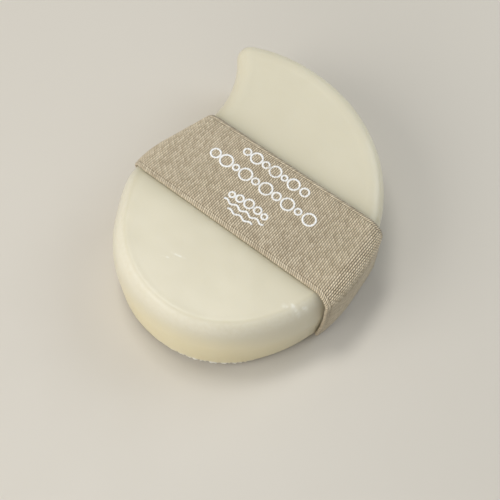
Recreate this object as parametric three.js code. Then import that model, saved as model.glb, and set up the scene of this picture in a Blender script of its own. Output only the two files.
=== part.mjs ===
// A comma-shaped bar of shaving soap in a stretched sleeve of woven elastic webbing.
// Millimetres. +X runs along the webbing where it crosses the top, +Y points to the comma's tip,
// +Z is up. The origin is under the middle of the whole object, on the surface it rests on.
import * as THREE from "three";

// ---- driving dimensions: the cake
const CAKE_THICKNESS = 22.8;
const ROUND_END_RADIUS = 30.4;
const BACK_RADIUS = 44.3; // the long outer edge from the round end up to the tip
const BACK_STARTS_AT = -40; // degrees round from +X, seen from the middle of the round end
const HOLLOW_RADIUS = 26.2; // the flank that curves inwards
const HOLLOW_STARTS_AT = 152; // degrees round from +X, seen from the middle of the round end
const TIP_RADIUS = 3.9;
const TOP_EDGE_RADIUS = 3.5;
const BOTTOM_EDGE_RADIUS = 1.0;
const WALL_DRAFT = 0.8; // how far the wall leans in by the time it reaches the bottom

// ---- driving dimensions: the webbing and its seam
const WEBBING_WIDTH = 24.8;
const WEBBING_THICKNESS = 1.0;
const WEBBING_MIDDLE_Y = 11.2; // from the middle of the round end
const CLEARANCE = 0.3; // between pieces that touch on the real object
const FRONT_SLIPS = { left: 1.2, right: -1.9 }; // of its front edge towards +Y, down each flank
const SLIPPED_ON_FACES = { left: 0, right: 0.3 }; // share of that slip reached by the ends of a face
const REAR_STAND_OFF = 1.6; // of its rear edge from the foot of the cake's right side
const FRONT_BULGE = 0.7; // of its front edge there, at half height
const LAP_TOP = 9.5; // height of the inner end of the strip
const LAP_BOTTOM = 2.8; // height of the outer end, which lies over the inner one
const LAP_RAMP = 3; // length over which the outer end climbs onto the inner one
const THREAD_DIAMETER = 0.4;
const THREAD_SIDES = 8;
const SEAM_MARGIN = 1.5; // from each selvedge to the ends of a row of stitches
const SEAM_ROWS = { upper: 7.8, lower: 4.6 }; // heights of the two rows of stitches

// ---- how finely the curves are cut
const ARC_STEP = 5; // degrees
const EDGE_STEPS = 5;
const STATIONS = 9; // across the webbing
const WALL_STEPS = 6;
const RUN_STEPS = 12;

const CAKE_BOTTOM = WEBBING_THICKNESS + CLEARANCE;
const CAKE_TOP = CAKE_BOTTOM + CAKE_THICKNESS;

const radians = THREE.MathUtils.degToRad;
const lerp = THREE.MathUtils.lerp;

function polar(radius, degrees) {
  return new THREE.Vector2(radius * Math.cos(radians(degrees)), radius * Math.sin(radians(degrees)));
}

function bearing(from, to) {
  return THREE.MathUtils.radToDeg(Math.atan2(to.y - from.y, to.x - from.x));
}

// The tip's middle: inside the back's circle and outside the hollow's, touching both.
function tipCentre(back, hollow) {
  const fromHollow = HOLLOW_RADIUS + TIP_RADIUS;
  const fromBack = BACK_RADIUS - TIP_RADIUS;
  const apart = hollow.distanceTo(back);
  const along = (fromHollow ** 2 - fromBack ** 2 + apart ** 2) / (2 * apart);
  const aside = Math.sqrt(fromHollow ** 2 - along ** 2);
  const direction = back.clone().sub(hollow).normalize();
  const square = new THREE.Vector2(-direction.y, direction.x);
  return hollow.clone().addScaledVector(direction, along).addScaledVector(square, aside);
}

// Four arcs that run into each other without a corner, anticlockwise. Angles are in degrees.
function outlineArcs() {
  const round = new THREE.Vector2(0, 0);
  const back = polar(ROUND_END_RADIUS - BACK_RADIUS, BACK_STARTS_AT);
  const hollow = polar(ROUND_END_RADIUS + HOLLOW_RADIUS, HOLLOW_STARTS_AT);
  const tip = tipCentre(back, hollow);
  const backEnd = bearing(back, tip);
  const tipEnd = bearing(tip, hollow) + 360;
  return [
    { centre: round, radius: ROUND_END_RADIUS, from: HOLLOW_STARTS_AT - 360, to: BACK_STARTS_AT },
    { centre: back, radius: BACK_RADIUS, from: BACK_STARTS_AT, to: backEnd },
    { centre: tip, radius: TIP_RADIUS, from: backEnd, to: tipEnd },
    { centre: hollow, radius: -HOLLOW_RADIUS, from: tipEnd, to: HOLLOW_STARTS_AT },
  ];
}

const ARCS = outlineArcs();

// The outline moved inwards by inset, or outwards where inset is negative.
function outline(inset) {
  const points = [];
  for (const { centre, radius, from, to } of ARCS) {
    const steps = Math.max(4, Math.ceil(Math.abs(to - from) / ARC_STEP));
    for (let i = 0; i < steps; i++) {
      points.push(polar(radius - inset, lerp(from, to, i / steps)).add(centre));
    }
  }
  return points;
}

// ---- the cake: the outline stacked up its profile, closed by a flat face at each end
function cakeProfile() {
  const rings = [];
  for (let i = 0; i <= EDGE_STEPS; i++) {
    const turn = ((i / EDGE_STEPS) * Math.PI) / 2;
    rings.push({
      inset: WALL_DRAFT + BOTTOM_EDGE_RADIUS * (1 - Math.sin(turn)),
      z: CAKE_BOTTOM + BOTTOM_EDGE_RADIUS * (1 - Math.cos(turn)),
    });
  }
  for (let i = 0; i <= EDGE_STEPS; i++) {
    const turn = ((i / EDGE_STEPS) * Math.PI) / 2;
    rings.push({
      inset: TOP_EDGE_RADIUS * (1 - Math.cos(turn)),
      z: CAKE_TOP - TOP_EDGE_RADIUS * (1 - Math.sin(turn)),
    });
  }
  return rings;
}

function meshGeometry(positions, triangles) {
  const geometry = new THREE.BufferGeometry();
  geometry.setAttribute("position", new THREE.Float32BufferAttribute(positions, 3));
  geometry.setIndex(triangles);
  geometry.computeVertexNormals();
  return geometry;
}

function cakeGeometry() {
  const rings = cakeProfile().map(({ inset, z }) => ({ points: outline(inset), z }));
  const count = rings[0].points.length;
  const positions = rings.flatMap(({ points, z }) => points.flatMap((p) => [p.x, p.y, z]));
  const triangles = [];
  for (let r = 0; r + 1 < rings.length; r++) {
    for (let i = 0; i < count; i++) {
      const a = r * count + i;
      const b = r * count + ((i + 1) % count);
      triangles.push(a, b, b + count, a, b + count, a + count);
    }
  }
  const last = rings.length - 1;
  for (const [a, b, c] of THREE.ShapeUtils.triangulateShape(rings[last].points, [])) {
    triangles.push(last * count + a, last * count + b, last * count + c);
  }
  for (const [a, b, c] of THREE.ShapeUtils.triangulateShape(rings[0].points, [])) {
    triangles.push(c, b, a);
  }
  return meshGeometry(positions, triangles);
}

// ---- the webbing: one strip round the cake, whose ends lap on the hollow side
const LEFT = -1;
const RIGHT = 1;

// Places across the webbing, from its front edge to its rear one. turned is 1 where it runs down a
// flank and 0 on the flat faces.
function stationYs(side, turned) {
  const end = side === LEFT ? "left" : "right";
  const slip = FRONT_SLIPS[end] * lerp(SLIPPED_ON_FACES[end], 1, turned);
  return Array.from({ length: STATIONS }, (_, j) => {
    const share = j / (STATIONS - 1);
    return WEBBING_MIDDLE_Y + WEBBING_WIDTH * (share - 0.5) + slip * (1 - share) ** 2;
  });
}

// Where the outline crosses height y of the plan, on its LEFT or its RIGHT.
function crossing(points, y, side) {
  const found = points.flatMap((p, i) => {
    const q = points[(i + 1) % points.length];
    return p.y > y === q.y > y ? [] : [lerp(p.x, q.x, (y - p.y) / (q.y - p.y))];
  });
  return side * Math.max(...found.map((x) => side * x));
}

// How far the webbing stands off the right flank. share runs from its front edge to its rear one,
// and height from the cake's foot to its top.
function standOff(share, height) {
  const rear = Math.max(0, 2 * share - 1) ** 2;
  const front = Math.max(0, 1 - 2 * share) ** 2;
  return REAR_STAND_OFF * rear * (1 - height) + FRONT_BULGE * front * Math.sin(Math.PI * height);
}

// The webbing's points on one flank. Stretched webbing goes straight across the hollow: no station
// lies inside the line between two others.
function flank(inset, side, height, turned) {
  const points = outline(inset);
  const ys = stationYs(side, turned);
  const hugging = ys.map((y) => side * crossing(points, y, side));
  return ys.map((y, j) => {
    let out = hugging[j];
    for (let a = 0; a < j; a++) {
      for (let b = j + 1; b < STATIONS; b++) {
        out = Math.max(out, lerp(hugging[a], hugging[b], (j - a) / (b - a)));
      }
    }
    const off = side === RIGHT ? standOff(j / (STATIONS - 1), height) : 0;
    return new THREE.Vector2(side * (out + off), y);
  });
}

// One row of points across the webbing, lift above the cake's wall at height z.
function wallRow(side, z, lift) {
  const height = (z - CAKE_BOTTOM) / CAKE_THICKNESS;
  return { across: flank(WALL_DRAFT * (1 - height) - lift, side, height, 1), z };
}

// One row on a rounded edge of the cake. turn is 0 on the wall and 1 on the flat face.
function edgeRow(side, top, turn, lift) {
  const radius = top ? TOP_EDGE_RADIUS : BOTTOM_EDGE_RADIUS;
  const start = top ? 0 : WALL_DRAFT;
  const angle = (turn * Math.PI) / 2;
  const inset = start + radius - (radius + lift) * Math.cos(angle);
  const rise = (radius + lift) * Math.sin(angle) - radius;
  const z = top ? CAKE_TOP + rise : CAKE_BOTTOM - rise;
  const height = THREE.MathUtils.clamp((z - CAKE_BOTTOM) / CAKE_THICKNESS, 0, 1);
  return { across: flank(inset, side, height, 1 - turn), z };
}

function faceRow(top, share, lift) {
  const inset = top ? TOP_EDGE_RADIUS : WALL_DRAFT + BOTTOM_EDGE_RADIUS;
  const right = flank(inset, RIGHT, top ? 1 : 0, 0);
  return {
    across: flank(inset, LEFT, 0, 0).map((p, j) => p.lerp(right[j], share)),
    z: top ? CAKE_TOP + lift : CAKE_BOTTOM - lift,
  };
}

// All rows of one surface of the strip, from its inner end on the left wall, under the cake, up
// the right side, back over the top and down the left wall again over its own beginning.
function stripRows(lift) {
  const rows = [];
  const wallFoot = CAKE_BOTTOM + BOTTOM_EDGE_RADIUS;
  const wallHead = CAKE_TOP - TOP_EDGE_RADIUS;
  for (let i = 0; i < WALL_STEPS; i++) {
    rows.push(wallRow(LEFT, lerp(LAP_TOP, wallFoot, i / WALL_STEPS), lift));
  }
  for (let i = 0; i < EDGE_STEPS; i++) {
    rows.push(edgeRow(LEFT, false, i / EDGE_STEPS, lift));
  }
  for (let i = 0; i < RUN_STEPS; i++) {
    rows.push(faceRow(false, i / RUN_STEPS, lift));
  }
  for (let i = EDGE_STEPS; i > 0; i--) {
    rows.push(edgeRow(RIGHT, false, i / EDGE_STEPS, lift));
  }
  for (let i = 0; i < WALL_STEPS; i++) {
    rows.push(wallRow(RIGHT, lerp(wallFoot, wallHead, i / WALL_STEPS), lift));
  }
  for (let i = 0; i < EDGE_STEPS; i++) {
    rows.push(edgeRow(RIGHT, true, i / EDGE_STEPS, lift));
  }
  for (let i = 0; i < RUN_STEPS; i++) {
    rows.push(faceRow(true, 1 - i / RUN_STEPS, lift));
  }
  for (let i = EDGE_STEPS; i > 0; i--) {
    rows.push(edgeRow(LEFT, true, i / EDGE_STEPS, lift));
  }
  const lapStep = WEBBING_THICKNESS + CLEARANCE;
  for (let i = 0; i <= WALL_STEPS; i++) {
    const z = lerp(wallHead, LAP_TOP, i / WALL_STEPS);
    const climbed = THREE.MathUtils.smoothstep(LAP_TOP + LAP_RAMP - z, 0, LAP_RAMP - CLEARANCE);
    rows.push(wallRow(LEFT, z, lift + lapStep * climbed));
  }
  for (let i = 1; i <= WALL_STEPS; i++) {
    rows.push(wallRow(LEFT, lerp(LAP_TOP, LAP_BOTTOM, i / WALL_STEPS), lift + lapStep));
  }
  return rows;
}

function stripGeometry() {
  const surfaces = [stripRows(CLEARANCE + WEBBING_THICKNESS), stripRows(CLEARANCE)];
  const rowCount = surfaces[0].length;
  const positions = surfaces.flatMap((rows) =>
    rows.flatMap(({ across, z }) => across.flatMap((p) => [p.x, p.y, z])),
  );
  const at = (surface, row, j) => (surface * rowCount + row) * STATIONS + j;
  const triangles = [];
  const quad = (a, b, c, d) => triangles.push(a, b, c, a, c, d);
  for (let r = 0; r + 1 < rowCount; r++) {
    for (let j = 0; j + 1 < STATIONS; j++) {
      quad(at(0, r, j), at(0, r, j + 1), at(0, r + 1, j + 1), at(0, r + 1, j));
      quad(at(1, r, j), at(1, r + 1, j), at(1, r + 1, j + 1), at(1, r, j + 1));
    }
    const far = STATIONS - 1;
    quad(at(0, r, 0), at(0, r + 1, 0), at(1, r + 1, 0), at(1, r, 0));
    quad(at(0, r, far), at(1, r, far), at(1, r + 1, far), at(0, r + 1, far));
  }
  for (let j = 0; j + 1 < STATIONS; j++) {
    const end = rowCount - 1;
    quad(at(0, 0, j), at(1, 0, j), at(1, 0, j + 1), at(0, 0, j + 1));
    quad(at(0, end, j), at(0, end, j + 1), at(1, end, j + 1), at(1, end, j));
  }
  return meshGeometry(positions, triangles);
}

// ---- a row of stitches: one thread laid across the lap, clear of the webbing's face
function threadGeometry(z) {
  const lift = 3 * CLEARANCE + 2 * WEBBING_THICKNESS + THREAD_DIAMETER / 2;
  const reach = WEBBING_WIDTH / 2 - SEAM_MARGIN;
  const inner = wallRow(LEFT, z, lift).across.filter((p) => Math.abs(p.y - WEBBING_MIDDLE_Y) < reach);
  const route = new THREE.CatmullRomCurve3(inner.map((p) => new THREE.Vector3(p.x, p.y, z)));
  const section = new THREE.Shape();
  section.absarc(0, 0, THREAD_DIAMETER / 2, 0, 2 * Math.PI);
  return new THREE.ExtrudeGeometry(section, {
    steps: 2 * STATIONS,
    curveSegments: THREAD_SIDES / 2,
    extrudePath: route,
    bevelEnabled: false,
  });
}

// ---- materials and assembly
const soap = new THREE.MeshStandardMaterial({ color: 0xe4dec8, roughness: 0.42, metalness: 0 });
const webbing = new THREE.MeshStandardMaterial({ color: 0xb2a58d, roughness: 0.9, metalness: 0 });
const thread = new THREE.MeshStandardMaterial({ color: 0xbfb199, roughness: 0.8, metalness: 0 });

function named(name, geometry, material) {
  const mesh = new THREE.Mesh(geometry, material);
  mesh.name = name;
  return mesh;
}

const sleeve = new THREE.Group();
sleeve.add(named("elastic_band", stripGeometry(), webbing));
for (const [row, z] of Object.entries(SEAM_ROWS)) {
  sleeve.add(named(`seam_thread_${row}`, threadGeometry(z), thread));
}

const bar = new THREE.Group();
bar.add(named("soap_cake", cakeGeometry(), soap));
bar.add(sleeve);

const middle = new THREE.Box3().setFromObject(bar).getCenter(new THREE.Vector3());
bar.position.set(-middle.x, -middle.y, 0);

export default bar;
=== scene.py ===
import math

import bpy
import numpy as np
from mathutils import Matrix, Vector, noise
from mathutils.geometry import delaunay_2d_cdt


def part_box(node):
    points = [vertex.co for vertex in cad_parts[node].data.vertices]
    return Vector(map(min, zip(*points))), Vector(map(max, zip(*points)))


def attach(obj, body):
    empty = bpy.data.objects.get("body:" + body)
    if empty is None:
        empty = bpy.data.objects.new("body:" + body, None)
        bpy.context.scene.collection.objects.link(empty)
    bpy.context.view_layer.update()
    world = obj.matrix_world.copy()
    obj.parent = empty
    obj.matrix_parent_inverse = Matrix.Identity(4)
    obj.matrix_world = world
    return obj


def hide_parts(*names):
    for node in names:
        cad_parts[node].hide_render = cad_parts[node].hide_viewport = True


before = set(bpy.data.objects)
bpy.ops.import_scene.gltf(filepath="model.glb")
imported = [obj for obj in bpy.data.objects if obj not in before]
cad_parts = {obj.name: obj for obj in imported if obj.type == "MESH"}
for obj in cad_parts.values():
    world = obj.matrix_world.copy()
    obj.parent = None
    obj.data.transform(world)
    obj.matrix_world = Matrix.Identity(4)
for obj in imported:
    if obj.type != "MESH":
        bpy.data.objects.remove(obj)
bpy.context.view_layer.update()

MM = 0.001

# ---- the cake, in millimetres, as in the CAD model
CAKE_THICKNESS = 22.8
ROUND_END_RADIUS = 30.4
BACK_RADIUS = 44.3
BACK_STARTS_AT = -40.0
HOLLOW_RADIUS = 26.2
HOLLOW_STARTS_AT = 152.0
TIP_RADIUS = 3.9
TOP_EDGE_RADIUS = 3.5
BOTTOM_EDGE_RADIUS = 1.0
WALL_DRAFT = 0.8

# ---- the webbing, in millimetres, as in the CAD model
LEFT = -1
RIGHT = 1
WEBBING_WIDTH = 24.8
WEBBING_THICKNESS = 1.0
WEBBING_MIDDLE_Y = 11.2
CLEARANCE = 0.3
FRONT_SLIPS = {LEFT: 1.2, RIGHT: -1.9}  # of its front edge towards +Y, down each flank
SLIPPED_ON_FACES = {LEFT: 0.0, RIGHT: 0.3}  # share of that slip already there at the ends of a face
REAR_STAND_OFF = 1.6
FRONT_BULGE = 0.7
LAP_TOP = 9.5
LAP_BOTTOM = 2.8
LAP_RAMP = 3.0
SEAM_ROWS = {"upper": 7.8, "lower": 4.6}

# ---- details that only the visual model has, in millimetres and degrees
WORN_EDGE = (4.2, 11.0)  # how far the top edge's rounding reaches inward and down at the front
WORN_UP_TO = {LEFT: (-25.0, -14.0), RIGHT: (-8.0, 8.0)}  # the Y range where it becomes the moulded edge
OUTLINE_STEP = 0.32
TOP_PITCH = 0.6  # of the triangles on the cake's top, its scuffed patch and its underside
SCUFF_PITCH = 0.2
BOTTOM_PITCH = 2.5
MOULD_LINE = (0.05, 4.2, 0.6)  # the raised line round the flat top: height, inset, half width
UNEVENNESS = ((0.09, 16.0), (0.03, 5.0))  # of the cake's faces: height and size of the undulations
FLASH_BEARINGS = (-100, -66, -46, -36)  # round the round end: it starts, is full, fades, is gone
FLASH_REACH = 0.5
FLASH_RISE = (0.35, 0.4)  # middle above the underside, half height
FLASH_GRAIN = 0.6
SCUFF_GRAIN = 0.7
SCUFFS = (  # on the top and its edge: middle, bearing, half length, half width
    ((-6.3, -26.0), 12, 1.9, 0.22),
    ((-8.6, -28.2), 20, 0.9, 0.18),
    ((25.4, -19.5), -10, 1.6, 0.5),
    ((23.2, -20.6), 15, 0.9, 0.35),
    ((27.3, -17.6), 50, 0.8, 0.3),
)
SCUFFED_PATCH = ((-10.2, -29.2), (-3.6, -24.8))  # the corners of the area with the finest triangles
SHADED_WALL_FACING = -75  # the direction that the yellowest, painted shaded stretch of wall faces
PAINTED_SLEEVE_SHADE_REACH = 2.7  # how far the painted shade along the sleeve's edges fades out over the open soap
PAINTED_SLEEVE_SHADE_UNDER = (0.35, 2.5)  # share of it left right under the sleeve, and how far in that is reached

RIB_PITCH = 0.58
RIB_DEPTH = 0.26
RIB_STATIONS = (0.0, 0.12, 0.3, 0.5, 0.7, 0.88)  # places along one rib, as shares of its pitch
INNER_GAP = 0.1  # between the webbing's inner face and the cake
SELVEDGE = 1.25  # from the edge to the groove inside the rolled selvedge
SELVEDGE_SLANT = 0.45  # how far the ribs lean along the strip there, per millimetre
RIB_LEANS = {LEFT: 0.15, RIGHT: 0.02}  # of the ribs at the two ends of the top run
TWILL_PITCH = 0.84  # across the strip, of the slanting lines in the weave
LAP_GAP = 0.06  # between the lap's two layers
LAP_SQUEEZE = 0.68  # share of its thickness that the webbing keeps in the sewn lap

STITCH = 1.5
STITCH_GAP = 0.45
STITCH_STATIONS = 9  # places along one stitch
THREAD_SIDES = 10
SEAM_MARGIN = 1.5
THREAD_DIAMETER = 0.4

INK_WIDTH = 0.5
INK_FILM = 0.035

CAKE_BOTTOM = WEBBING_THICKNESS + CLEARANCE
CAKE_TOP = CAKE_BOTTOM + CAKE_THICKNESS
OUTER_LIFT = CLEARANCE + WEBBING_THICKNESS
HALF_THICKNESS = (OUTER_LIFT - INNER_GAP) / 2
MIDDLE_LIFT = (OUTER_LIFT + INNER_GAP) / 2

# The middle of the round end, in the part's frame.
lowest_corner, highest_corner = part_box("soap_cake")
ROUND_END = np.array([lowest_corner.x, lowest_corner.y]) / MM + ROUND_END_RADIUS
SLEEVE_MIDDLE_Y = ROUND_END[1] + WEBBING_MIDDLE_Y

# ---- the camera, in metres and degrees
CAMERA_AIM = Vector((0.00443, -0.00929, 0.0128))
CAMERA_AZIMUTH = 32.006
CAMERA_ELEVATION = 65.343
CAMERA_ROLL = 5.212
CAMERA_DISTANCE = 0.28938
CAMERA_LENS = 78.54  # millimetres, on a 36 mm sensor
CAMERA_SENSOR = 36.0

# ---- the studio, in metres
FLOOR_HALF = 5.0
LIGHTS = (  # name, place, width, height, power in watts, colour
    ("key", (-0.32, -0.52, 0.44), 0.5, 0.5, 2.8, (1.0, 0.985, 0.96)),
    ("fill", (0.08, -0.62, 0.14), 0.4, 0.4, 0.95, (1.0, 0.985, 0.96)),
    ("strip", (-0.17, 0.03, 0.62), 0.24, 0.12, 1.3, (1.0, 0.99, 0.97)),
    ("rim", (0.24, 0.42, 0.40), 0.45, 0.45, 1.4, (0.88, 0.95, 1.0)),
)
SKY = ((0.95, 0.97, 1.0), 0.28)  # colour and strength of the even light from all round


# ============================================================ camera
def make_camera():
    azimuth = math.radians(CAMERA_AZIMUTH)
    elevation = math.radians(CAMERA_ELEVATION)
    towards = Vector((math.sin(azimuth) * math.cos(elevation),
                      -math.cos(azimuth) * math.cos(elevation),
                      math.sin(elevation)))
    level = Vector((0, 0, 1)).cross(towards).normalized()
    right = Matrix.Rotation(math.radians(CAMERA_ROLL), 3, towards) @ level
    up = towards.cross(right)
    data = bpy.data.cameras.new("camera")
    data.lens = CAMERA_LENS
    data.sensor_width = CAMERA_SENSOR
    data.clip_start = 0.01
    camera = bpy.data.objects.new("camera", data)
    bpy.context.scene.collection.objects.link(camera)
    turn = Matrix((right, up, towards)).transposed().to_4x4()
    camera.matrix_world = Matrix.Translation(CAMERA_AIM + towards * CAMERA_DISTANCE) @ turn
    bpy.context.scene.camera = camera


# ============================================================ outline
def polar(radius, degrees):
    return np.array([radius * math.cos(math.radians(degrees)), radius * math.sin(math.radians(degrees))])


def bearing(start, end):
    return math.degrees(math.atan2(end[1] - start[1], end[0] - start[0]))


def outline_arcs():
    """Four arcs that run into each other, anticlockwise: (centre, radius, from, to), in degrees."""
    back = ROUND_END + polar(ROUND_END_RADIUS - BACK_RADIUS, BACK_STARTS_AT)
    hollow = ROUND_END + polar(ROUND_END_RADIUS + HOLLOW_RADIUS, HOLLOW_STARTS_AT)
    from_hollow, from_back = HOLLOW_RADIUS + TIP_RADIUS, BACK_RADIUS - TIP_RADIUS
    apart = np.linalg.norm(back - hollow)
    along = (from_hollow ** 2 - from_back ** 2 + apart ** 2) / (2 * apart)
    aside = math.sqrt(from_hollow ** 2 - along ** 2)
    direction = (back - hollow) / apart
    tip = hollow + direction * along + np.array([-direction[1], direction[0]]) * aside
    back_end = bearing(back, tip)
    tip_end = bearing(tip, hollow) + 360
    return [(ROUND_END, ROUND_END_RADIUS, HOLLOW_STARTS_AT - 360, BACK_STARTS_AT),
            (back, BACK_RADIUS, BACK_STARTS_AT, back_end),
            (tip, TIP_RADIUS, back_end, tip_end),
            (hollow, -HOLLOW_RADIUS, tip_end, HOLLOW_STARTS_AT)]


ARCS = outline_arcs()


def outline(inset, step):
    """The outline moved inwards by inset, with a point about every step millimetres of the full one."""
    points = []
    for centre, radius, start, end in ARCS:
        count = max(6, math.ceil(abs(radius) * math.radians(abs(end - start)) / step))
        for i in range(count):
            points.append(centre + polar(radius - inset, start + (end - start) * i / count))
    return np.array(points)


# ============================================================ helpers
def smoothstep(value, low, high):
    t = np.clip((value - low) / (high - low), 0, 1)
    return t * t * (3 - 2 * t)


def noise_at(points, scale, seed=0.0):
    """Smooth noise from about -1 to 1 at points in millimetres, with features about scale across."""
    shift = Vector((seed * 17.3, seed * 5.1, seed * 9.7))
    return np.array([noise.noise(Vector(p) / scale + shift) for p in points]) * 1.6


def mesh_piece(name, vertices_mm, faces, material):
    mesh = bpy.data.meshes.new(name)
    mesh.from_pydata((np.asarray(vertices_mm) * MM).tolist(), [], faces)
    mesh.polygons.foreach_set("use_smooth", [True] * len(mesh.polygons))
    mesh.materials.append(material)
    mesh.validate()
    mesh.update()
    piece = bpy.data.objects.new(name, mesh)
    bpy.context.scene.collection.objects.link(piece)
    return piece


def add_value(piece, name, values):
    """Gives every vertex a number that the material reads by name."""
    attribute = piece.data.attributes.new(name, "FLOAT", "POINT")
    attribute.data.foreach_set("value", np.asarray(values, np.float32))


# ============================================================ node helpers
class Nodes:
    """A material's node tree, with one Principled shader."""

    def __init__(self, name):
        self.material = bpy.data.materials.new(name)
        self.material.use_nodes = True
        self.tree = self.material.node_tree
        self.tree.nodes.clear()
        self.shader = self.add("ShaderNodeBsdfPrincipled")
        output = self.add("ShaderNodeOutputMaterial")
        self.link(self.shader, "BSDF", output, "Surface")
        self.place = self.add("ShaderNodeNewGeometry")

    def add(self, kind, **settings):
        node = self.tree.nodes.new(kind)
        for key, value in settings.items():
            setattr(node, key, value)
        return node

    def link(self, source, output, target, name):
        self.tree.links.new(source.outputs[output], target.inputs[name])

    def noise(self, scale, detail=2.0, roughness=0.5):
        node = self.add("ShaderNodeTexNoise")
        node.inputs["Scale"].default_value = scale
        node.inputs["Detail"].default_value = detail
        node.inputs["Roughness"].default_value = roughness
        self.link(self.place, "Position", node, "Vector")
        return node.outputs["Fac"]

    def attribute(self, name):
        return self.add("ShaderNodeAttribute", attribute_name=name).outputs["Fac"]

    def maths(self, operation, *values):
        node = self.add("ShaderNodeMath", operation=operation)
        for socket, value in zip(node.inputs, values):
            if isinstance(value, (int, float)):
                socket.default_value = value
            else:
                self.tree.links.new(value, socket)
        return node.outputs[0]

    def range(self, value, low, high, to_low, to_high):
        node = self.add("ShaderNodeMapRange")
        self.tree.links.new(value, node.inputs["Value"])
        names = ("From Min", "From Max", "To Min", "To Max")
        for name, number in zip(names, (low, high, to_low, to_high)):
            node.inputs[name].default_value = number
        return node.outputs["Result"]

    def colours(self, value, *stops):
        """A colour ramp over value; each stop is (position, colour)."""
        ramp = self.add("ShaderNodeValToRGB")
        ends = ramp.color_ramp.elements
        for end, (position, colour) in ((ends[0], stops[0]), (ends[1], stops[-1])):
            end.position = position
            end.color = (*colour, 1)
        for position, colour in stops[1:-1]:
            ends.new(position).color = (*colour, 1)
        self.tree.links.new(value, ramp.inputs["Fac"])
        return ramp.outputs["Color"]

    def mix(self, share, first, second, blend="MIX"):
        node = self.add("ShaderNodeMix", data_type="RGBA", blend_type=blend)
        for socket, value in zip((node.inputs[0], node.inputs[6], node.inputs[7]), (share, first, second)):
            if isinstance(value, (int, float)):
                socket.default_value = value
            elif isinstance(value, tuple):
                socket.default_value = (*value, 1)
            else:
                self.tree.links.new(value, socket)
        return node.outputs[2]

    def bump(self, height, strength, distance, below=None):
        node = self.add("ShaderNodeBump")
        node.inputs["Strength"].default_value = strength
        node.inputs["Distance"].default_value = distance
        self.tree.links.new(height, node.inputs["Height"])
        if below is not None:
            self.tree.links.new(below, node.inputs["Normal"])
        return node.outputs["Normal"]

    def drive(self, name, value):
        self.tree.links.new(value, self.shader.inputs[name])

    def fix(self, **values):
        for name, value in values.items():
            self.shader.inputs[name.replace("_", " ")].default_value = value


# ============================================================ materials
def soap_material():
    """Colours mixed by vertex values: the top painted paler as lit and the low front wall yellower as
    shaded; painted shade along the sleeve's edges; crumbs and scuffs, and a painted highlight on the
    rounded front edge."""
    n = Nodes("ivory_soap")
    mottle = n.noise(45, detail=1)
    # painted light and shade: walls is the yellower colour painted as shaded, pale the colour painted as
    # the lit top
    walls = n.colours(mottle, (0.3, (0.740, 0.655, 0.420)), (0.7, (0.780, 0.700, 0.465)))
    pale = n.colours(mottle, (0.3, (0.660, 0.610, 0.465)), (0.7, (0.688, 0.640, 0.492)))
    body = n.mix(n.attribute("painted_top_light"), walls, pale)
    # painted shade: a darker colour on the top along the sleeve's edges and, less, under it
    body = n.mix(n.attribute("painted_sleeve_shade"), body, (0.490, 0.453, 0.325))
    # chalk colour: for the real crumbs and scuffs, and for a painted highlight on the rounded front edge
    chalk_and_highlight_colour = n.colours(n.noise(900, detail=2), (0.3, (0.80, 0.77, 0.66)), (0.7, (0.92, 0.91, 0.85)))
    body = n.mix(n.attribute("chalk_and_edge_highlight"), body, chalk_and_highlight_colour)
    n.drive("Base Color", body)
    handled = n.range(n.noise(60, detail=1), 0.3, 0.7, 0.30, 0.38)
    n.drive("Roughness", n.maths("MULTIPLY_ADD", n.attribute("chalk_and_edge_highlight"), 0.3, handled))
    hand = n.bump(n.noise(110, detail=1), 0.25, 0.00030)
    grain = n.bump(n.noise(1800, detail=1), 0.10, 0.00003, below=hand)
    n.drive("Normal", grain)
    n.fix(Subsurface_Weight=0.35, Subsurface_Scale=0.003, Subsurface_Radius=(1.0, 0.93, 0.78), IOR=1.47)
    return n.material


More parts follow.
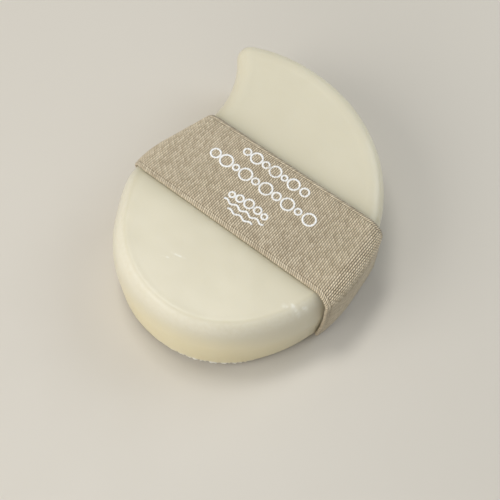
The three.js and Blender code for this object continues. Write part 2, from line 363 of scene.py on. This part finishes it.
def webbing_material():
    """Ribs across the strip, crossed by slanting lines where the yarns pass over each other. strip_s
    and strip_a are millimetres along the strip and across it, strip_e the distance to the nearer
    selvedge, and open how far the ribs stand apart."""
    n = Nodes("woven_elastic")
    along = n.maths("DIVIDE", n.attribute("strip_s"), RIB_PITCH)
    across = n.maths("DIVIDE", n.attribute("strip_a"), TWILL_PITCH)
    rib = n.maths("FLOOR", along)
    twill = n.maths("SUBTRACT", n.maths("MULTIPLY", along, 0.5), across)
    hump = n.maths("SINE", n.maths("MULTIPLY", n.maths("FRACT", along), math.pi))
    wave = n.maths("MULTIPLY_ADD", n.maths("SINE", n.maths("MULTIPLY", twill, 2 * math.pi)), 0.5, 0.5)
    selvedge = n.range(n.attribute("strip_e"), SELVEDGE - 0.05, SELVEDGE + 0.1, 0.8, 0)
    wave = n.maths("MAXIMUM", wave, selvedge)
    relief = n.maths("MULTIPLY", n.maths("POWER", hump, 0.8), n.range(wave, 0, 1, 0.5, 1.0))
    cell = n.add("ShaderNodeCombineXYZ")
    n.tree.links.new(rib, cell.inputs[0])
    n.tree.links.new(n.maths("FLOOR", twill), cell.inputs[1])
    dye = n.add("ShaderNodeTexWhiteNoise", noise_dimensions="2D")
    n.link(cell, "Vector", dye, "Vector")
    yarn = n.colours(dye.outputs["Value"], (0.0, (0.550, 0.452, 0.312)), (0.5, (0.645, 0.543, 0.385)),
                     (1.0, (0.750, 0.643, 0.470)))
    broad = n.range(n.noise(70, detail=2), 0.3, 0.7, 0.95, 1.04)
    pair = n.maths("PINGPONG", rib, 1.0)
    # painted shade: the colour darkens in the grooves between the ribs and along the twill lines, more
    # where the ribs stand apart
    contrast = n.range(n.attribute("open"), 0.35, 1.5, 0.25, 1.45)
    swing = n.maths("MULTIPLY", n.maths("SUBTRACT", relief, 0.5), 0.85)
    depth = n.maths("MULTIPLY_ADD", swing, contrast, 0.76)
    # painted shade: dark lines in the grooves of each rolled selvedge
    selvedge_groove_shade = n.colours(n.maths("DIVIDE", n.attribute("strip_e"), 2), (0.0, (0.95, 0.95, 0.95)),
                      (0.2, (0.90, 0.90, 0.90)), (0.31, (0.72, 0.72, 0.72)), (0.36, (1.0, 1.0, 1.0)),
                      (0.55, (1.0, 1.0, 1.0)), (0.62, (0.50, 0.48, 0.45)), (0.70, (1.0, 1.0, 1.0)))
    # painted shade: a dark line along the rear edge of the webbing
    rear = n.range(n.attribute("strip_a"), WEBBING_WIDTH - 1.0, WEBBING_WIDTH - 0.5, 1.0, 0.75)
    shade = n.maths("MULTIPLY", n.maths("MULTIPLY", depth, broad), rear)
    shade = n.maths("MULTIPLY", shade, n.range(pair, 0, 1, 0.95, 1.04))
    grey = n.add("ShaderNodeCombineColor")
    for socket in grey.inputs:
        n.tree.links.new(shade, socket)
    worked = n.mix(1.0, yarn, grey.outputs["Color"], blend="MULTIPLY")
    n.drive("Base Color", n.mix(1.0, worked, selvedge_groove_shade, blend="MULTIPLY"))
    n.drive("Roughness", n.range(n.noise(3000), 0.3, 0.7, 0.78, 0.95))
    weave = n.bump(relief, 0.8, 0.00010)
    fibres = n.noise(5200, detail=3, roughness=0.7)
    n.drive("Normal", n.bump(fibres, 0.4, 0.00004, below=weave))
    n.fix(Sheen_Weight=0.15, Sheen_Roughness=0.5, IOR=1.4)
    return n.material


def thread_material():
    n = Nodes("sewing_thread")
    fibres = n.noise(4000, detail=2)
    n.drive("Base Color", n.colours(fibres, (0.3, (0.40, 0.33, 0.24)), (0.7, (0.56, 0.48, 0.37))))
    n.drive("Roughness", n.range(fibres, 0.3, 0.7, 0.6, 0.8))
    n.drive("Normal", n.bump(fibres, 0.6, 0.00006))
    n.fix(Sheen_Weight=0.2)
    return n.material


def ink_material():
    n = Nodes("white_ink")
    wear = n.noise(1800, detail=3, roughness=0.6)
    n.drive("Base Color", n.colours(wear, (0.3, (0.78, 0.77, 0.74)), (0.6, (0.90, 0.90, 0.88))))
    n.drive("Roughness", n.range(wear, 0.3, 0.7, 0.5, 0.7))
    n.drive("Normal", n.bump(wear, 0.4, 0.00004))
    return n.material


def floor_material():
    n = Nodes("pale_floor")
    cloudy = n.noise(3, detail=2)
    n.drive("Base Color", n.colours(cloudy, (0.4, (0.60, 0.56, 0.49)), (0.6, (0.63, 0.59, 0.52))))
    n.drive("Roughness", n.range(n.noise(60), 0.3, 0.7, 0.55, 0.65))
    return n.material


# ============================================================ soap cake
def cake_profile(inward, down):
    """(inset, height) from the foot of the wall to the flat top, whose rounded edge reaches inward
    and down this far."""
    rings = []
    for turn in np.linspace(0, math.pi / 2, 7):
        rings.append((WALL_DRAFT + BOTTOM_EDGE_RADIUS * (1 - math.sin(turn)),
                      CAKE_BOTTOM + BOTTOM_EDGE_RADIUS * (1 - math.cos(turn))))
    foot, head = CAKE_BOTTOM + BOTTOM_EDGE_RADIUS, CAKE_TOP - down
    for share in np.linspace(0, 1, 30)[1:-1]:
        rings.append((WALL_DRAFT * (1 - share), foot + (head - foot) * share))
    for turn in np.linspace(0, math.pi / 2, 20):
        rings.append((inward * (1 - math.cos(turn)), CAKE_TOP - down * (1 - math.sin(turn))))
    return rings


def lattice(low, high, pitch):
    """Staggered rows of points that fill a rectangle."""
    points = []
    for row, y in enumerate(np.arange(low[1], high[1], pitch * 0.87)):
        for x in np.arange(low[0] + (row % 2) * pitch / 2, high[0], pitch):
            points.append((x, y))
    return np.array(points)


def fill_flat(edge, pitch, height, first, faces, upwards, patch=None):
    """Fills a closed edge with triangles about pitch across, and finer ones inside a patch. first holds
    the numbers of the edge's first vertex and of the first new one; the new ones are returned."""
    grid = lattice(edge.min(0), edge.max(0), pitch)
    if patch:
        low, high = patch
        outside = np.any((grid < np.array(low)) | (grid > np.array(high)), axis=1)
        grid = np.vstack([grid[outside], lattice(low, high, SCUFF_PITCH)])
    following = np.roll(edge, -1, 0)
    crossed = np.zeros(len(grid), bool)
    clear = np.full(len(grid), np.inf)
    for a, b in zip(edge, following):
        clear = np.minimum(clear, np.hypot(grid[:, 0] - a[0], grid[:, 1] - a[1]))
        if a[1] != b[1]:
            side = (grid[:, 1] < a[1]) != (grid[:, 1] < b[1])
            crossed ^= side & (grid[:, 0] < a[0] + (grid[:, 1] - a[1]) * (b[0] - a[0]) / (b[1] - a[1]))
    inside = grid[crossed & (clear > 0.6 * pitch)]
    count = len(edge)
    flat = [Vector(p) for p in edge] + [Vector(p) for p in inside]
    made = delaunay_2d_cdt(flat, [], [list(range(count))], 1, 1e-5)
    origin = made[3]
    number = {}
    extra = []
    for new, old in enumerate(origin):
        if old and old[0] < count:
            number[new] = old[0] + first[0]
        else:
            number[new] = first[1] + len(extra)
            extra.append((made[0][new].x, made[0][new].y, height))
    for face in made[2]:
        loop = [number[k] for k in face]
        faces.append(loop if upwards else loop[::-1])
    return extra


def cake_mesh():
    """The cake before any wear: vertices and faces."""
    moulded = cake_profile(TOP_EDGE_RADIUS, TOP_EDGE_RADIUS)
    worn = cake_profile(*WORN_EDGE)
    edge = outline(0, OUTLINE_STEP)
    share = np.where(edge[:, 0] < 0, 1 - smoothstep(edge[:, 1], *WORN_UP_TO[LEFT]),
                     1 - smoothstep(edge[:, 1], *WORN_UP_TO[RIGHT]))
    rings = []
    for (inset, z), (worn_inset, worn_z) in zip(moulded, worn):
        plan = outline(inset, OUTLINE_STEP) * (1 - share)[:, None]
        plan = plan + outline(worn_inset, OUTLINE_STEP) * share[:, None]
        rings.append(np.column_stack([plan, z * (1 - share) + worn_z * share]))
    vertices = np.vstack(rings)
    count = len(share)
    faces = []
    for r in range(len(rings) - 1):
        for i in range(count):
            a, b = r * count + i, r * count + (i + 1) % count
            faces.append((a, b, b + count, a + count))
    first = ((len(rings) - 1) * count, len(vertices))
    top = fill_flat(rings[-1][:, :2], TOP_PITCH, CAKE_TOP, first, faces, True, SCUFFED_PATCH)
    vertices = np.vstack([vertices, top])
    first = (0, len(vertices))
    bottom = fill_flat(rings[0][:, :2], BOTTOM_PITCH, CAKE_BOTTOM, first, faces, False)
    return np.vstack([vertices, bottom]), faces


def vertex_normals(vertices, faces):
    normals = np.zeros_like(vertices)
    for size in (3, 4):
        chosen = np.array([f for f in faces if len(f) == size])
        if not len(chosen):
            continue
        a, b, c = vertices[chosen[:, 0]], vertices[chosen[:, 1]], vertices[chosen[:, -1]]
        across = np.cross(b - a, c - a)
        for k in range(size):
            np.add.at(normals, chosen[:, k], across)
    return normals / np.maximum(np.linalg.norm(normals, axis=1), 1e-12)[:, None]


def distance_inside(vertices):
    """How far each vertex is from the outline in plan."""
    inset = np.full(len(vertices), np.inf)
    for point in outline(0, 0.3):
        inset = np.minimum(inset, np.hypot(vertices[:, 0] - point[0], vertices[:, 1] - point[1]))
    return inset


def flash_at(vertices, inset):
    """The ragged lip left along the bottom edge at the front of the round end, from 0 to 1.3."""
    around = np.degrees(np.arctan2(vertices[:, 1] - ROUND_END[1], vertices[:, 0] - ROUND_END[0]))
    starts, full, fades, gone = FLASH_BEARINGS
    stretch = smoothstep(around, starts, full) * (1 - smoothstep(around, fades, gone))
    middle, half = FLASH_RISE
    lip = np.exp(-((vertices[:, 2] - CAKE_BOTTOM - middle) / half) ** 2) * (inset < 3)
    ragged = np.clip(0.45 + 1.3 * noise_at(vertices, FLASH_GRAIN, seed=3), 0, 1.3)
    return stretch * lip * ragged


def scuffs_at(vertices):
    scuffed = np.zeros(len(vertices))
    rough = np.clip(0.75 + noise_at(vertices, SCUFF_GRAIN, seed=7), 0.2, 1)
    near_top = vertices[:, 2] > CAKE_TOP - 3
    for middle, turn, length, width in SCUFFS:
        direction, offset = polar(1, turn), vertices[:, :2] - np.array(middle)
        u, v = offset @ direction, offset @ np.array([-direction[1], direction[0]])
        mark = np.exp(-(u / length) ** 4 - (v / width) ** 2)
        scuffed = np.maximum(scuffed, mark * near_top * rough)
    return scuffed


def painted_sleeve_shade_at(vertices, normals):
    """Painted shade: a darker colour on the soap's top along both edges of the sleeve and, less so, under
    it.
    """
    outside = np.abs(vertices[:, 1] - SLEEVE_MIDDLE_Y) - WEBBING_WIDTH / 2
    left_under, depth = PAINTED_SLEEVE_SHADE_UNDER
    under = left_under + (1 - left_under) * np.exp(-np.abs(outside) / depth)
    beside = np.exp(-np.abs(outside) / PAINTED_SLEEVE_SHADE_REACH)
    return np.where(outside > 0, beside, under) * smoothstep(normals[:, 2], 0.2, 0.8)


def painted_top_light_at(vertices, normals):
    """Painted light and shade: 1 for the paler, lit colour on all of the top and most of the wall, falling
    to 0 for the yellower, shaded colour low down at the front.
    """
    height = (vertices[:, 2] - CAKE_BOTTOM) / CAKE_THICKNESS
    facing = smoothstep(normals[:, :2] @ polar(1, SHADED_WALL_FACING), 0.3, 1.0)
    return smoothstep(normals[:, 2] + 0.6 * (1 - facing) + 0.25 * height, 0.0, 0.65)


def edge_highlight_at(vertices, normals):
    """Painted highlight: the rounded edge of the top, made paler in front of the sleeve."""
    rounded = smoothstep(normals[:, 2], 0.1, 0.5) * (1 - smoothstep(normals[:, 2], 0.8, 0.99))
    return rounded * (1 - smoothstep(vertices[:, 1], -15, 15))


def make_cake(material):
    vertices, faces = cake_mesh()
    inset = distance_inside(vertices)
    height, middle, half = MOULD_LINE
    on_top = vertices[:, 2] > CAKE_TOP - 0.4
    vertices[:, 2] += height * np.exp(-((inset - middle) / half) ** 2) * on_top

    normals = vertex_normals(vertices, faces)
    uneven = sum(height * noise_at(vertices, size, seed)
                 for seed, (height, size) in enumerate(UNEVENNESS, start=1))
    above = smoothstep(vertices[:, 2], CAKE_BOTTOM, CAKE_BOTTOM + 2)
    vertices = vertices + normals * (uneven * above)[:, None]

    flash = flash_at(vertices, inset)
    level = normals * np.array([1, 1, 0])
    vertices = vertices + level * (FLASH_REACH * flash)[:, None]

    # the crumbs and scuffs are real marks; the share on the rounded front edge is a painted highlight
    chalk_and_edge_highlight = 2.0 * flash + 0.6 * scuffs_at(vertices) + 0.2 * edge_highlight_at(vertices, normals)
    cake = mesh_piece("soap_bar", vertices, faces, material)
    # painted shade along the sleeve, painted light and shade over the top and walls, and the chalk marks
    add_value(cake, "painted_sleeve_shade", painted_sleeve_shade_at(vertices, normals))
    add_value(cake, "painted_top_light", painted_top_light_at(vertices, normals))
    add_value(cake, "chalk_and_edge_highlight", np.clip(chalk_and_edge_highlight, 0, 1))
    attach(cake, "soap")
    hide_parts("soap_cake")
    return cake


# ============================================================ webbing
SHARES = np.linspace(0, 1, 41)  # across the webbing, from its front edge to its rear one


def station_ys(side, turned):
    reached = SLIPPED_ON_FACES[side] * (1 - turned) + turned
    slip = FRONT_SLIPS[side] * reached * (1 - SHARES) ** 2
    return SLEEVE_MIDDLE_Y + WEBBING_WIDTH * (SHARES - 0.5) + slip


def crossing(points, y, side):
    """How far out a closed line crosses height y of the plan on this side."""
    following = np.roll(points, -1, 0)
    hit = (points[:, 1] > y) != (following[:, 1] > y)
    a, b = points[hit], following[hit]
    return (side * (a[:, 0] + (b[:, 0] - a[:, 0]) * (y - a[:, 1]) / (b[:, 1] - a[:, 1]))).max()


def stand_off(height):
    """How far the webbing stands off the right flank; height runs from 0 at the foot to 1."""
    rear = np.maximum(0, 2 * SHARES - 1) ** 2
    front = np.maximum(0, 1 - 2 * SHARES) ** 2
    return REAR_STAND_OFF * rear * (1 - height) + FRONT_BULGE * front * math.sin(math.pi * height)


def bridged(reach):
    """Stretched webbing goes straight across a hollow: the upper hull of reach over SHARES."""
    hull = []
    for point in zip(SHARES, reach):
        while len(hull) > 1:
            (ax, ay), (bx, by) = hull[-2], hull[-1]
            if (bx - ax) * (point[1] - ay) < (by - ay) * (point[0] - ax):
                break
            hull.pop()
        hull.append(point)
    return np.interp(SHARES, *zip(*hull))


def flank(inset, side, height, turned):
    """The webbing's points on one flank. turned is 1 where it runs down the wall, 0 on a flat face."""
    points = outline(inset, 0.5)
    ys = station_ys(side, turned)
    reach = bridged(np.array([crossing(points, y, side) for y in ys]))
    if side == RIGHT:
        reach = reach + stand_off(min(max(height, 0), 1))
    return np.column_stack([side * reach, ys])


def wall_row(side, z, lift):
    """One row of points across the webbing, lift off the cake's wall at height z."""
    height = (z - CAKE_BOTTOM) / CAKE_THICKNESS
    points = flank(WALL_DRAFT * (1 - height) - lift, side, height, 1)
    return np.column_stack([points, np.full(len(SHARES), z)])


def edge_row(side, top, turn, lift):
    """One row on a rounded edge of the cake. turn is 0 on the wall and 1 on the flat face."""
    radius = TOP_EDGE_RADIUS if top else BOTTOM_EDGE_RADIUS
    start = 0 if top else WALL_DRAFT
    angle = turn * math.pi / 2
    inset = start + radius - (radius + lift) * math.cos(angle)
    rise = (radius + lift) * math.sin(angle) - radius
    z = CAKE_TOP + rise if top else CAKE_BOTTOM - rise
    points = flank(inset, side, (z - CAKE_BOTTOM) / CAKE_THICKNESS, 1 - turn)
    return np.column_stack([points, np.full(len(SHARES), z)])


def face_rows(top, lift, count):
    """Rows across the top or the underside, from left to right. Away from the flanks they run
    straight across the strip, and near each flank they turn to follow it."""
    inset = TOP_EDGE_RADIUS if top else WALL_DRAFT + BOTTOM_EDGE_RADIUS
    left, right = flank(inset, LEFT, 0, 0), flank(inset, RIGHT, 1 if top else 0, 0)
    ends = left[0, 0], right[0, 0]
    rows = []
    for i in range(count):
        share = i / count
        x = ends[0] + (ends[1] - ends[0]) * share
        x = x + (left[:, 0] - ends[0]) * (1 - smoothstep(share, 0, 0.55))
        x = x + (right[:, 0] - ends[1]) * smoothstep(share, 0.7, 1)
        y = left[:, 1] + (right[:, 1] - left[:, 1]) * share
        z = CAKE_TOP + lift if top else CAKE_BOTTOM - lift
        rows.append(np.column_stack([x, y, np.full(len(SHARES), z)]))
    return rows


def steps(start, end, count):
    return [start + (end - start) * i / count for i in range(count)]


def strip_rows():
    """Closely spaced rows of the strip's middle surface, from its inner end to its outer end."""
    foot, head = CAKE_BOTTOM + BOTTOM_EDGE_RADIUS, CAKE_TOP - TOP_EDGE_RADIUS
    lift = MIDDLE_LIFT
    inner_lift = INNER_GAP + HALF_THICKNESS * LAP_SQUEEZE
    climb = 2 * HALF_THICKNESS * LAP_SQUEEZE + LAP_GAP
    rows = [wall_row(LEFT, z, inner_lift) for z in steps(LAP_TOP, foot, 24)]
    rows += [edge_row(LEFT, False, t, inner_lift + (lift - inner_lift) * t) for t in steps(0, 1, 10)]
    rows += face_rows(False, lift, 90)
    rows += [edge_row(RIGHT, False, turn, lift) for turn in steps(1, 0, 10)]
    rows += [wall_row(RIGHT, z, lift) for z in steps(foot, head, 36)]
    rows += [edge_row(RIGHT, True, turn, lift) for turn in steps(0, 1, 14)]
    rows += [edge_row(RIGHT, True, 1, lift)] + face_rows(True, lift, 90)[:0:-1]
    rows += [edge_row(LEFT, True, t, inner_lift + (lift - inner_lift) * t) for t in steps(1, 0, 14)]
    for z in steps(head, LAP_BOTTOM, 40) + [LAP_BOTTOM]:
        climbed = float(smoothstep(LAP_TOP + LAP_RAMP - z, 0, LAP_RAMP - CLEARANCE))
        rows.append(wall_row(LEFT, z, inner_lift + climb * climbed))
    return np.array(rows)


class Strip:
    """The middle surface of the webbing, by millimetres along it and share across it. Lines of equal
    distance along are where the ribs lie: on the top they fan out from the left flank, and run
    straight into the curved right one."""

    def __init__(self):
        self.rows = strip_rows()
        middle = self.rows[:, len(SHARES) // 2]
        along = np.concatenate([[0], np.cumsum(np.linalg.norm(np.diff(middle, axis=0), axis=1))])
        self.length = along[-1]
        self.width = WEBBING_WIDTH
        top = np.flatnonzero(middle[:, 2] > CAKE_TOP + MIDDLE_LIFT - 0.01)
        first, last = top[0], top[-1]
        from_middle = self.rows[first, :, 1] - middle[first, 1]
        left = middle[last, 0] + RIB_LEANS[LEFT] * from_middle
        right = middle[first, 0] + RIB_LEANS[RIGHT] * from_middle
        ahead = np.zeros(self.rows.shape[:2])
        reach = along[last] - along[first]
        x = self.rows[first:last + 1, :, 0]
        wanted = along[last] - reach * (x - left) / (right - left)
        ahead[first:last + 1] = wanted - along[first:last + 1, None]
        fade = smoothstep(middle[:, 2], LAP_BOTTOM, CAKE_TOP)
        on_right = (np.arange(len(along)) < first) & (middle[:, 0] > 0)
        on_left = np.arange(len(along)) > last
        ahead += (fade * on_right)[:, None] * ahead[first] + (fade * on_left)[:, None] * ahead[last]
        self.along = along[:, None] + ahead
        forward = np.gradient(self.rows, axis=0)
        across = np.gradient(self.rows, axis=1)
        outward = np.cross(across, forward)
        self.outward = outward / np.linalg.norm(outward, axis=2)[:, :, None]
        self.forward = forward / np.linalg.norm(forward, axis=2)[:, :, None]

    def sample(self, grid, along, share):
        along, share = np.broadcast_arrays(along, share)
        column = np.clip(share, 0, 1) * (len(SHARES) - 1)
        c = np.minimum(column.astype(int), len(SHARES) - 2)
        v = (column - c)[..., None]
        return self.on_column(grid, along, c) * (1 - v) + self.on_column(grid, along, c + 1) * v

    def on_column(self, grid, along, columns):
        row = np.zeros(along.shape)
        for c in np.unique(columns):
            here = columns == c
            row[here] = np.interp(along[here], self.along[:, c], np.arange(len(self.rows)))
        r = np.clip(row.astype(int), 0, len(self.rows) - 2)
        u = (row - r)[..., None]
        return grid[r, columns] * (1 - u) + grid[r + 1, columns] * u

    def point(self, along, share, lift):
        return (self.sample(self.rows, along, share)
                + self.sample(self.outward, along, share) * np.asarray(lift)[..., None])

    def squeeze(self, along):
        """The share of its thickness the webbing keeps: less on the left wall, where it is sewn."""
        wall = CAKE_TOP - LAP_BOTTOM
        thick = np.minimum(smoothstep(along, LAP_TOP - LAP_BOTTOM, LAP_TOP),
                           smoothstep(self.length - along, wall - 2, wall + 3))
        return LAP_SQUEEZE + (1 - LAP_SQUEEZE) * thick

    def openness(self, along):
        """How far the ribs stand apart: most over the right-hand bend, least down the walls."""
        at = self.sample(self.rows, along, np.full(np.shape(along), 0.5))
        normal = self.sample(self.outward, along, np.full(np.shape(along), 0.5))
        bend = np.exp(-((normal[..., 2] - 0.8) / 0.3) ** 2) * (normal[..., 0] > 0.05) * (at[..., 2] > 12)
        left_end = -0.35 * smoothstep(-at[..., 0], 5, 22) * (at[..., 2] > 12)
        return 1.0 + 0.5 * bend + left_end - 0.65 * smoothstep(-normal[..., 2], -0.5, -0.1)


def rib_phase(along, from_edge):
    """Whole numbers at the grooves between ribs. On the rolled selvedges the ribs run slantwise."""
    return (along + SELVEDGE_SLANT * np.maximum(0, SELVEDGE - from_edge)) / RIB_PITCH


def groove_depth(strip, along, across):
    """How far the outer face dips between the ribs at this place, in millimetres."""
    from_edge = np.minimum(across, strip.width - across)
    groove = np.abs(np.cos(np.pi * rib_phase(along, from_edge))) ** 2.2
    return RIB_DEPTH * groove * strip.openness(along)


def section(width):
    """The webbing's cross-section as a closed loop, front edge to rear edge over the outer face and
    back along the inner one: (across in mm, lift, how strongly the ribs show)."""
    half = HALF_THICKNESS
    roll = [(half + half * math.cos(math.radians(a)), half * math.sin(math.radians(a)), weight)
            for a, weight in ((225, 0.25), (180, 0.6), (135, 0.7))]
    roll += [(0.62, half - 0.06, 0.7), (0.92, half, 0.8)]
    roll += [(SELVEDGE, half - 0.25, 0.3), (1.5, half - 0.04, 0.8)]
    flat = [(a, half, 1.0) for a in np.linspace(1.85, width - 1.85, 19)]
    mirrored = [(width - a, lift, weight) for a, lift, weight in reversed(roll)]
    inner = [(a, -half, 0.25) for a in np.linspace(width - half, half, 10)]
    return np.array(roll + flat + mirrored + inner)


def make_webbing(strip, material):
    ribs = int(strip.length / RIB_PITCH) + 1
    stations = ((np.arange(ribs)[:, None] + np.array(RIB_STATIONS)) * RIB_PITCH).ravel()
    stations = np.concatenate([stations[stations < strip.length - 0.05], [strip.length]])
    loop = section(strip.width)
    along, across = np.meshgrid(stations, loop[:, 0], indexing="ij")
    from_edge = np.minimum(across, strip.width - across)
    lift = np.broadcast_to(loop[:, 1], along.shape)
    weight = np.broadcast_to(loop[:, 2], along.shape)
    flat = np.column_stack([along.ravel(), across.ravel(), np.zeros(along.size)])
    wander = noise_at(flat, 4.0, seed=5).reshape(along.shape)
    strength = 1 + 0.25 * noise_at(flat * np.array([1, 0.3, 0]), 1.3, seed=6).reshape(along.shape)
    groove = groove_depth(strip, along, across) * weight * strength
    ends = smoothstep(np.minimum(along, strip.length - along), 0, 0.5)
    height = (lift - np.where(lift < 0, -1.0, 1.0) * groove) * strip.squeeze(along) * (0.7 + 0.3 * ends)
    place = strip.point(along, across / strip.width, height + 0.03 * wander)
    place = place + strip.sample(strip.forward, along, across / strip.width) * (0.07 * wander)[..., None]
    rows, columns = along.shape
    faces = []
    for r in range(rows - 1):
        for c in range(columns):
            a, b = r * columns + c, r * columns + (c + 1) % columns
            faces.append((a, b, b + columns, a + columns))
    faces.append(tuple(range(columns))[::-1])
    faces.append(tuple((rows - 1) * columns + c for c in range(columns)))
    piece = mesh_piece("webbing_sleeve", place.reshape(-1, 3), faces, material)
    add_value(piece, "strip_s", rib_phase(along, from_edge).ravel() * RIB_PITCH)
    add_value(piece, "strip_a", across.ravel())
    add_value(piece, "strip_e", from_edge.ravel())
    add_value(piece, "open", strip.openness(along).ravel())
    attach(piece, "sleeve")
    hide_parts("elastic_band")
    return piece


# ============================================================ print
def along_at_top(strip, x):
    """Millimetres along the strip at x on its top run."""
    middle = strip.rows[:, len(SHARES) // 2]
    top = middle[:, 2] > CAKE_TOP
    order = np.argsort(middle[top, 0])
    return np.interp(x, middle[top, 0][order], strip.along[top, len(SHARES) // 2][order])


def on_print(strip, x, y):
    """Strip coordinates of places given in the part's frame on the top run."""
    along = along_at_top(strip, x)
    for _ in range(4):
        front = strip.sample(strip.rows, along, np.zeros(len(x)))
        rear = strip.sample(strip.rows, along, np.ones(len(x)))
        share = (y - front[:, 1]) / (rear[:, 1] - front[:, 1])
        along = along + strip.sample(strip.rows, along, share)[:, 0] - x
    return along, share * strip.width


def ring(x, y, radius):
    """A bubble's outline and whether it is closed."""
    angles = np.linspace(0, 2 * math.pi, max(16, int(radius * 26)), endpoint=False)
    return np.column_stack([x + radius * np.cos(angles), y + radius * np.sin(angles)]), True


def wave(x0, x1, y, height, humps):
    t = np.linspace(0, 1, humps * 12)
    return np.column_stack([x0 + (x1 - x0) * t, y + height * np.sin(t * math.pi * humps)]), False


def motif():
    """Plain soap bubbles in two rows, and a small pool of foam below them."""
    strokes = []
    for x, radius in ((-10.0, 1.0), (-6.9, 1.6), (-3.8, 0.95), (-0.7, 1.6), (2.3, 0.8), (5.3, 1.6),
                      (8.9, 1.2)):
        strokes.append(ring(x, 7.9 - 0.03 * x, radius))
    for x, radius in ((-16.4, 1.35), (-12.8, 1.75), (-9.6, 0.85), (-6.4, 1.75), (-3.1, 0.95), (0.3, 1.75),
                      (3.8, 1.15), (7.4, 1.75), (10.8, 0.9), (14.4, 1.75)):
        strokes.append(ring(x, 2.3 - 0.03 * x, radius))
    for x, y, radius in ((-5.6, -4.4, 0.8), (-3.3, -4.1, 1.0), (-0.5, -3.9, 1.3), (2.4, -4.1, 1.0),
                         (4.8, -4.5, 0.8)):
        strokes.append(ring(x, y, radius))
    strokes.append(wave(-6.7, 6.0, -6.5, 0.35, 8))
    strokes.append(wave(-4.2, 3.6, -8.3, 0.3, 5))
    return strokes


def make_print(strip, material):
    """Each stroke is a thin closed film that lies on the ribs and dips a little between them."""
    vertices, faces = [], []
    for path, closed in motif():
        ahead = np.roll(path, -1, 0) - np.roll(path, 1, 0) if closed else np.gradient(path, axis=0)
        aside = np.column_stack([-ahead[:, 1], ahead[:, 0]]) / np.linalg.norm(ahead, axis=1)[:, None]
        count = len(path)
        sides = []
        for offset in (INK_WIDTH / 2, 0.0, -INK_WIDTH / 2):
            x, y = (path + aside * offset).T
            along, across = on_print(strip, x, y)
            dip = groove_depth(strip, along, across)
            for lift in (HALF_THICKNESS + INK_FILM - 0.55 * dip, HALF_THICKNESS - 0.2 - dip):
                sides.append(strip.point(along, across / strip.width, lift))
        first = len(vertices)
        over, under = sides[0::2], sides[1::2]
        loop = over + under[::-1]
        for i in range(count):
            vertices += [line[i] for line in loop]
        size = len(loop)
        for i in range(count if closed else count - 1):
            for k in range(size):
                a, b = first + i * size, first + (i + 1) % count * size
                faces.append((a + k, b + k, b + (k + 1) % size, a + (k + 1) % size))
        if not closed:
            faces.append(tuple(first + k for k in range(size)))
            faces.append(tuple(first + (count - 1) * size + k for k in range(size))[::-1])
    piece = mesh_piece("printed_motif", vertices, faces, material)
    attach(piece, "sleeve")
    return piece


# ============================================================ stitches
def make_stitches(strip, name, height, material):
    """One row of lockstitches: short threads that bow out of the lap and sink into it at both ends."""
    lapped = strip.rows[-30:, len(SHARES) // 2, 2]
    along = np.interp(-height, -lapped, strip.along[-30:, len(SHARES) // 2])
    half = HALF_THICKNESS * LAP_SQUEEZE
    t = np.linspace(0, 1, STITCH_STATIONS)
    bow = np.sin(t * math.pi)
    sides, last = THREAD_SIDES, STITCH_STATIONS - 1
    vertices, faces = [], []
    starts = np.arange(SEAM_MARGIN, strip.width - SEAM_MARGIN, STITCH + STITCH_GAP)
    for number, start in enumerate(starts):
        share = (start + STITCH * t) / strip.width
        drift = 0.06 * noise.noise(Vector((number * 1.7, height, 0)))
        here = np.full(STITCH_STATIONS, along + drift)
        middle = strip.point(here, share, half - 0.12 + 0.22 * bow ** 0.6)
        out = strip.sample(strip.outward, here, share)
        side = strip.sample(strip.forward, here, share)
        thick = THREAD_DIAMETER / 2 * (0.55 + 0.45 * bow)
        first = len(vertices)
        for i in range(STITCH_STATIONS):
            for k in range(sides):
                angle = 2 * math.pi * k / sides
                spoke = out[i] * math.sin(angle) + side[i] * math.cos(angle)
                vertices.append(middle[i] + thick[i] * spoke)
        for i in range(last):
            for k in range(sides):
                a, b = first + i * sides + k, first + i * sides + (k + 1) % sides
                faces.append((a, b, b + sides, a + sides))
        faces.append(tuple(first + k for k in range(sides))[::-1])
        faces.append(tuple(first + last * sides + k for k in range(sides)))
    piece = mesh_piece(f"stitches_{name}", vertices, faces, material)
    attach(piece, "sleeve")
    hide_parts(f"seam_thread_{name}")
    return piece


# ============================================================ studio
def make_floor():
    corners = [(-FLOOR_HALF, -FLOOR_HALF, 0), (FLOOR_HALF, -FLOOR_HALF, 0),
               (FLOOR_HALF, FLOOR_HALF, 0), (-FLOOR_HALF, FLOOR_HALF, 0)]
    mesh = bpy.data.meshes.new("floor")
    mesh.from_pydata(corners, [], [(0, 1, 2, 3)])
    mesh.materials.append(floor_material())
    floor = bpy.data.objects.new("floor", mesh)
    bpy.context.scene.collection.objects.link(floor)


def area_light(name, place, width, height, power, colour):
    """A soft panel at place, turned towards the origin."""
    data = bpy.data.lights.new(name, "AREA")
    data.shape = "RECTANGLE"
    data.size = width
    data.size_y = height
    data.energy = power
    data.color = colour
    light = bpy.data.objects.new(name, data)
    light.visible_camera = False
    bpy.context.scene.collection.objects.link(light)
    place = Vector(place)
    turn = (-place).to_track_quat("-Z", "Y").to_matrix().to_4x4()
    light.matrix_world = Matrix.Translation(place) @ turn


def make_light():
    for settings in LIGHTS:
        area_light(*settings)
    colour, strength = SKY
    world = bpy.data.worlds.new("studio")
    world.use_nodes = True
    background = world.node_tree.nodes["Background"]
    background.inputs["Color"].default_value = (*colour, 1)
    background.inputs["Strength"].default_value = strength
    bpy.context.scene.world = world
    bpy.context.scene.view_settings.view_transform = "Standard"


# ============================================================ main
make_camera()
make_cake(soap_material())
strip = Strip()
webbing = make_webbing(strip, webbing_material())
print_piece = make_print(strip, ink_material())
thread = thread_material()
seams = [make_stitches(strip, name, height, thread) for name, height in SEAM_ROWS.items()]
make_floor()
make_light()
